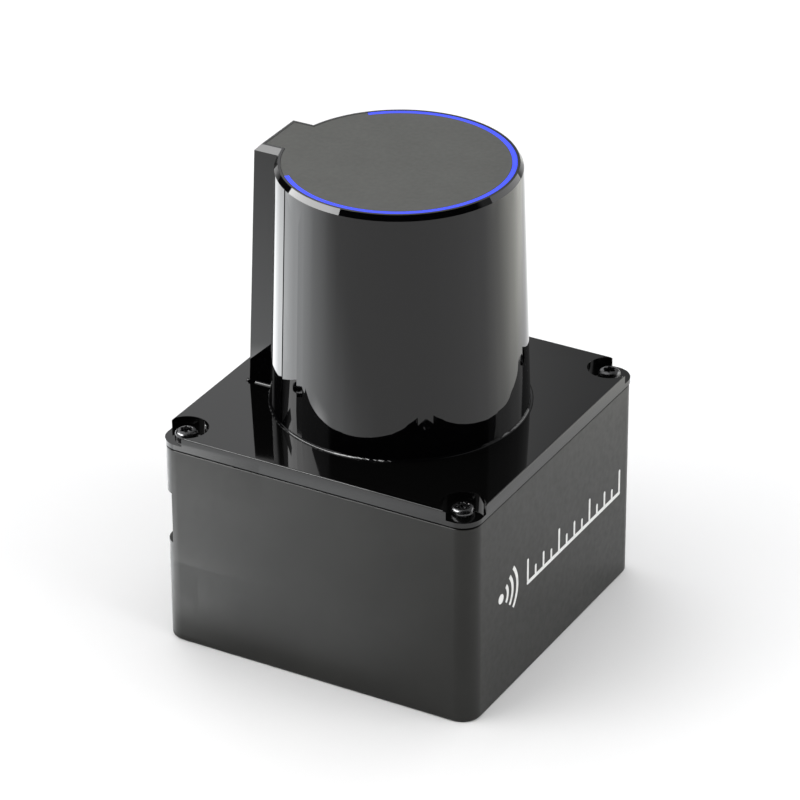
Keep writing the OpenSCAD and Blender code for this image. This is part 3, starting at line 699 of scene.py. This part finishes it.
def front_coating():
    s = Shader("front_coating", (0.93, 0.93, 0.93), 0.015, metallic=1.0)
    s.vary_color(5 * MM, (0.91, 0.92, 0.93), (0.94, 0.935, 0.925))
    s.vary_roughness(2.5 * MM, 0.008, 0.03)
    s.grain(6 * MM, 0.001 * MM, 0.1, 1.0)
    return s.mat


BRUSHED = (1, 1, 0.12)
INNER_MATERIALS = {
    "rubber": rubber(),
    "dark_steel": black_screw_steel(),
    "steel": metal("plain_steel", (0.52, 0.52, 0.51), (0.70, 0.70, 0.69), 0.22, 0.38, BRUSHED),
    "board": circuit_board(),
    "chips": moulded("component_body", (0.018, 0.018, 0.020), (0.034, 0.034, 0.036), 0.46, 0.66, 0.1),
    "led": moulded("lamp_package", (0.78, 0.78, 0.72), (0.90, 0.90, 0.86), 0.22, 0.36, 0.2, 0.003),
    "tin": metal("tinned_sheet", (0.60, 0.60, 0.59), (0.78, 0.78, 0.77), 0.26, 0.48, depth=0.004),
    "gold": metal("gold_plate", (0.76, 0.55, 0.22), (0.90, 0.69, 0.34), 0.16, 0.30),
    "inner_plastic": moulded("glass_filled_plastic", (0.022, 0.022, 0.022), (0.04, 0.04, 0.04), 0.5, 0.7),
    "glass": coated_glass(),
    "black_metal": metal("black_anodised", (0.026, 0.026, 0.029), (0.045, 0.045, 0.048), 0.34, 0.5),
    "flex": flex_circuit(),
    "plate": metal("machined_plate", (0.58, 0.59, 0.60), (0.74, 0.75, 0.76), 0.24, 0.40, (1, 0.12, 1)),
    "brass": metal("turned_brass", (0.54, 0.39, 0.15), (0.70, 0.53, 0.25), 0.20, 0.34, BRUSHED),
    "copper": windings(),
    "wire": moulded("wire_sleeve", (0.27, 0.035, 0.02), (0.42, 0.07, 0.04), 0.4, 0.56, 0.3),
    "nickel": metal("nickel_plate", (0.53, 0.52, 0.49), (0.67, 0.66, 0.63), 0.14, 0.28, (0.12, 1, 1)),
    "magnet": moulded("sintered_magnet", (0.035, 0.035, 0.04), (0.07, 0.07, 0.075), 0.5, 0.75, 0.08, 0.01),
    "mirror": front_coating(),
}

dress(lid_screws, INNER_MATERIALS["dark_steel"])
dress(power_shell, INNER_MATERIALS["nickel"])
dress(data_shell, INNER_MATERIALS["nickel"])
dress(printed_mark, white_ink())

OUTER_NODES = ("base_housing", "lid", "hood_window", "top_cap", "light_ring")
REBUILT_NODES = OUTER_NODES + ("lid_screws", "power_inlet", "data_inlet")
for part in frame["record"]["subparts"]:
    if part["node"] not in REBUILT_NODES:
        dress(NODES[part["node"]], INNER_MATERIALS[part["material_slot"]])

# ---- Studio ---------------------------------------------------------------------------------

CAMERA_AZIMUTH = 29.392
CAMERA_ELEVATION = 28.918
CAMERA_ROLL = -0.353
CAMERA_DISTANCE = 0.7195
CAMERA_LENS = 190.07
AIM_HEIGHT = 0.042
AIM_SHIFT_RIGHT = -0.000076
AIM_SHIFT_UP = -0.001913
LIGHT_AIM_HEIGHT = 0.045
FLOOR_CARD_HEIGHT = 1 * MM
FLOOR_SIDE = 6.0
WORLD_RADIANCE = 0.95
COOL_WHITE = (0.95, 0.98, 1)
WARM_WHITE = (1, 1, 0.84)


def camera_axes():
    a = math.radians(CAMERA_AZIMUTH)
    e = math.radians(CAMERA_ELEVATION)
    back = Vector((math.sin(a) * math.cos(e), -math.cos(a) * math.cos(e), math.sin(e)))
    right = Vector((math.cos(a), math.sin(a), 0))
    up = back.cross(right)
    return right, up, back


def build_camera():
    right, up, back = camera_axes()
    aim = Vector((0, 0, AIM_HEIGHT)) + right * AIM_SHIFT_RIGHT + up * AIM_SHIFT_UP
    c = math.cos(math.radians(CAMERA_ROLL))
    s = math.sin(math.radians(CAMERA_ROLL))
    rolled_right = right * c + up * s
    rolled_up = up * c - right * s
    data = bpy.data.cameras.new("camera")
    data.lens = CAMERA_LENS
    data.sensor_width = 36.0
    data.clip_start = 0.01
    data.clip_end = 50.0
    camera = bpy.data.objects.new("camera", data)
    bpy.context.scene.collection.objects.link(camera)
    rotation = Matrix((rolled_right, rolled_up, back)).transposed()
    camera.matrix_world = Matrix.Translation(aim + back * CAMERA_DISTANCE) @ rotation.to_4x4()
    bpy.context.scene.camera = camera


def studio_point(right, front, up):
    """A point given from the camera's side: to its right, towards it along the floor, and up."""
    a = math.radians(CAMERA_AZIMUTH)
    return Vector((
        right * math.cos(a) + front * math.sin(a),
        right * math.sin(a) - front * math.cos(a),
        up,
    ))


def soft_box(name, place, aim, width, height, radiance, diffuse=True, glossy=True, tilt=0):
    """A rectangular light that the camera does not see, turned by tilt degrees in its own plane."""
    data = bpy.data.lights.new(name, "AREA")
    data.shape = "RECTANGLE"
    data.size = width
    data.size_y = height
    data.energy = radiance * math.pi * width * height
    lamp = bpy.data.objects.new(name, data)
    bpy.context.scene.collection.objects.link(lamp)
    lamp.location = place
    lamp.rotation_mode = "QUATERNION"
    facing = (aim - place).to_track_quat("-Z", "Y")
    lamp.rotation_quaternion = facing @ Quaternion((0, 0, 1), math.radians(tilt))
    lamp.visible_camera = False
    lamp.visible_diffuse = diffuse
    lamp.visible_glossy = glossy


def floor_card(name, across, depth, radiance, fades, turn=0, color=(1, 1, 1)):
    """A glowing card on the floor, seen only in reflections.

    across is its reach to the camera's right and depth its reach towards the camera, before it is
    turned. fades are the widths over which it dims at its four edges, two along each direction.
    """
    width = across[1] - across[0]
    length = depth[1] - depth[0]
    data = bpy.data.lights.new(name, "AREA")
    data.shape = "RECTANGLE"
    data.size = width
    data.size_y = length
    data.energy = radiance * math.pi * width * length
    lamp = bpy.data.objects.new(name, data)
    bpy.context.scene.collection.objects.link(lamp)
    lamp.location = studio_point(sum(across) / 2, sum(depth) / 2, FLOOR_CARD_HEIGHT)
    lamp.rotation_euler = (math.pi, 0, math.radians(CAMERA_AZIMUTH + turn))
    lamp.visible_camera = False
    lamp.visible_diffuse = False
    data.color = color
    data.use_nodes = True
    tree = data.node_tree
    emission = next(n for n in tree.nodes if n.type == "EMISSION")
    split = tree.nodes.new("ShaderNodeSeparateXYZ")
    tree.links.new(tree.nodes.new("ShaderNodeNewGeometry").outputs["Parametric"], split.inputs[0])
    strength = None
    for socket, size, (low, high) in (("X", width, fades[:2]), ("Y", length, fades[2:])):
        for start, end in ((0.0, low / size), (1.0, 1.0 - high / size)):
            ramp = tree.nodes.new("ShaderNodeMapRange")
            ramp.interpolation_type = "SMOOTHSTEP"
            ramp.inputs["From Min"].default_value = start
            ramp.inputs["From Max"].default_value = end
            tree.links.new(split.outputs[socket], ramp.inputs["Value"])
            product = tree.nodes.new("ShaderNodeMath")
            product.operation = "MULTIPLY"
            product.inputs[1].default_value = 1.0
            tree.links.new(ramp.outputs["Result"], product.inputs[0])
            if strength:
                tree.links.new(strength, product.inputs[1])
            strength = product.outputs[0]
    tree.links.new(strength, emission.inputs["Strength"])


def build_floor():
    corners = [(x * FLOOR_SIDE, y * FLOOR_SIDE, 0) for x, y in ((-1, -1), (1, -1), (1, 1), (-1, 1))]
    mesh = mesh_from("floor", corners, [(0, 1, 2, 3)])
    floor = bpy.data.objects.new("floor", mesh)
    bpy.context.scene.collection.objects.link(floor)
    s = Shader("studio_floor", (0.86, 0.86, 0.86), 0.7)
    s.vary_color(400 * MM, (0.85, 0.85, 0.855), (0.87, 0.868, 0.865))
    s.grain(2 * MM, 0.01 * MM, 0.2)
    s.set(Specular_IOR_Level=0.2)
    floor.data.materials.append(s.mat)


def build_world():
    """White all round, but dark behind the camera and low at the rear left, and dimmer on the right."""
    world = bpy.data.worlds.new("studio")
    bpy.context.scene.world = world
    world.use_nodes = True
    tree = world.node_tree
    background = tree.nodes["Background"]
    coords = tree.nodes.new("ShaderNodeTexCoord").outputs["Generated"]

    def lobe(direction, near, far):
        """1 inside the near angle of a direction and 0 outside the far angle."""
        dot = tree.nodes.new("ShaderNodeVectorMath")
        dot.operation = "DOT_PRODUCT"
        tree.links.new(coords, dot.inputs[0])
        dot.inputs[1].default_value = direction.normalized()
        ramp = tree.nodes.new("ShaderNodeMapRange")
        ramp.interpolation_type = "SMOOTHSTEP"
        ramp.inputs["From Min"].default_value = math.cos(math.radians(far))
        ramp.inputs["From Max"].default_value = math.cos(math.radians(near))
        tree.links.new(dot.outputs["Value"], ramp.inputs["Value"])
        return ramp.outputs["Result"]

    def scale(value, low_gain):
        """1 where value is 0, low_gain where it is 1."""
        made = tree.nodes.new("ShaderNodeMapRange")
        made.inputs["To Min"].default_value = 1.0
        made.inputs["To Max"].default_value = low_gain
        tree.links.new(value, made.inputs["Value"])
        return made.outputs["Result"]

    def product(first, second):
        made = tree.nodes.new("ShaderNodeMath")
        made.operation = "MULTIPLY"
        tree.links.new(first, made.inputs[0])
        tree.links.new(second, made.inputs[1])
        return made.outputs[0]

    behind_camera = scale(lobe(studio_point(0.12, 0.85, 0.5), 60, 67), 0.01)
    right_half = scale(lobe(studio_point(1, 0, 0), 86.8, 91.0), 0.36)
    rear_left = scale(lobe(studio_point(-0.68, -0.70, 0.208), 19, 24), 0.02)
    strength = product(product(behind_camera, right_half), rear_left)
    gain = tree.nodes.new("ShaderNodeMath")
    gain.operation = "MULTIPLY"
    gain.inputs[1].default_value = WORLD_RADIANCE
    tree.links.new(strength, gain.inputs[0])
    background.inputs["Color"].default_value = (0.985, 0.99, 1.0, 1.0)
    tree.links.new(gain.outputs[0], background.inputs["Strength"])


build_camera()
build_floor()
build_world()

# three lights seen only in reflections; the left one stands close, for the hood's chamfer
LIGHT_AIM = studio_point(0, 0, LIGHT_AIM_HEIGHT)
soft_box(
    "softbox_left", place=studio_point(-0.15, 0.017, 0.162), aim=studio_point(0, 0.017, 0.162),
    width=0.167, height=0.07, radiance=12.0, diffuse=False, tilt=28,
)
soft_box(
    "softbox_top", place=studio_point(-0.36, 0.10, 0.53), aim=LIGHT_AIM,
    width=0.26, height=0.20, radiance=10.0, diffuse=False,
)
soft_box(
    "softbox_right", place=studio_point(0.55, -0.25, 0.20), aim=LIGHT_AIM,
    width=0.5, height=0.3, radiance=2.0, diffuse=False,
)

# lights never seen in reflections: name, place, aim, side of the square, radiance
FILL_LIGHTS = (
    ("ceiling", (0, 0, 1.3), (0, 0, LIGHT_AIM_HEIGHT), 2.6, 0.88),
    ("back_left", (-0.45, -0.60, 0.40), (-0.15, -0.35, 0), 0.5, 1.0),
    ("back_right", (0.45, -0.60, 0.40), (0.15, -0.35, 0), 0.5, 0.8),
    ("front_right", (0.50, 0.25, 0.45), (0.09, 0.05, 0), 0.5, 2.6),
    ("front_left", (-0.50, 0.20, 0.45), (-0.08, 0.08, 0), 0.5, 2.2),
)
for name, place, aim, side, radiance in FILL_LIGHTS:
    soft_box(name, studio_point(*place), studio_point(*aim), side, side, radiance, glossy=False)

floor_card(
    "left_reflector", across=(-0.330, -0.025), depth=(-0.250, 0.130), radiance=2.4,
    fades=(0.10, 0.045, 0.20, 0.15), color=COOL_WHITE,
)
floor_card(
    "foot_reflector", across=(-0.0708, 0.0012), depth=(0.0192, 0.0472), radiance=1.1,
    fades=(0.01, 0.03, 0.008, 0.008), turn=-29.4, color=COOL_WHITE,
)
floor_card(
    "right_reflector", across=(0.075, 0.420), depth=(-0.350, 0.050), radiance=0.8,
    fades=(0.05, 0.10, 0.10, 0.13), color=WARM_WHITE,
)
floor_card(
    "side_reflector", across=(-0.1145, -0.0395), depth=(0.0045, 0.0495), radiance=2.5,
    fades=(0.01, 0.01, 0.022, 0.022), turn=31.2,
)

bpy.context.scene.view_settings.view_transform = "Standard"
bpy.context.scene.view_settings.look = "None"
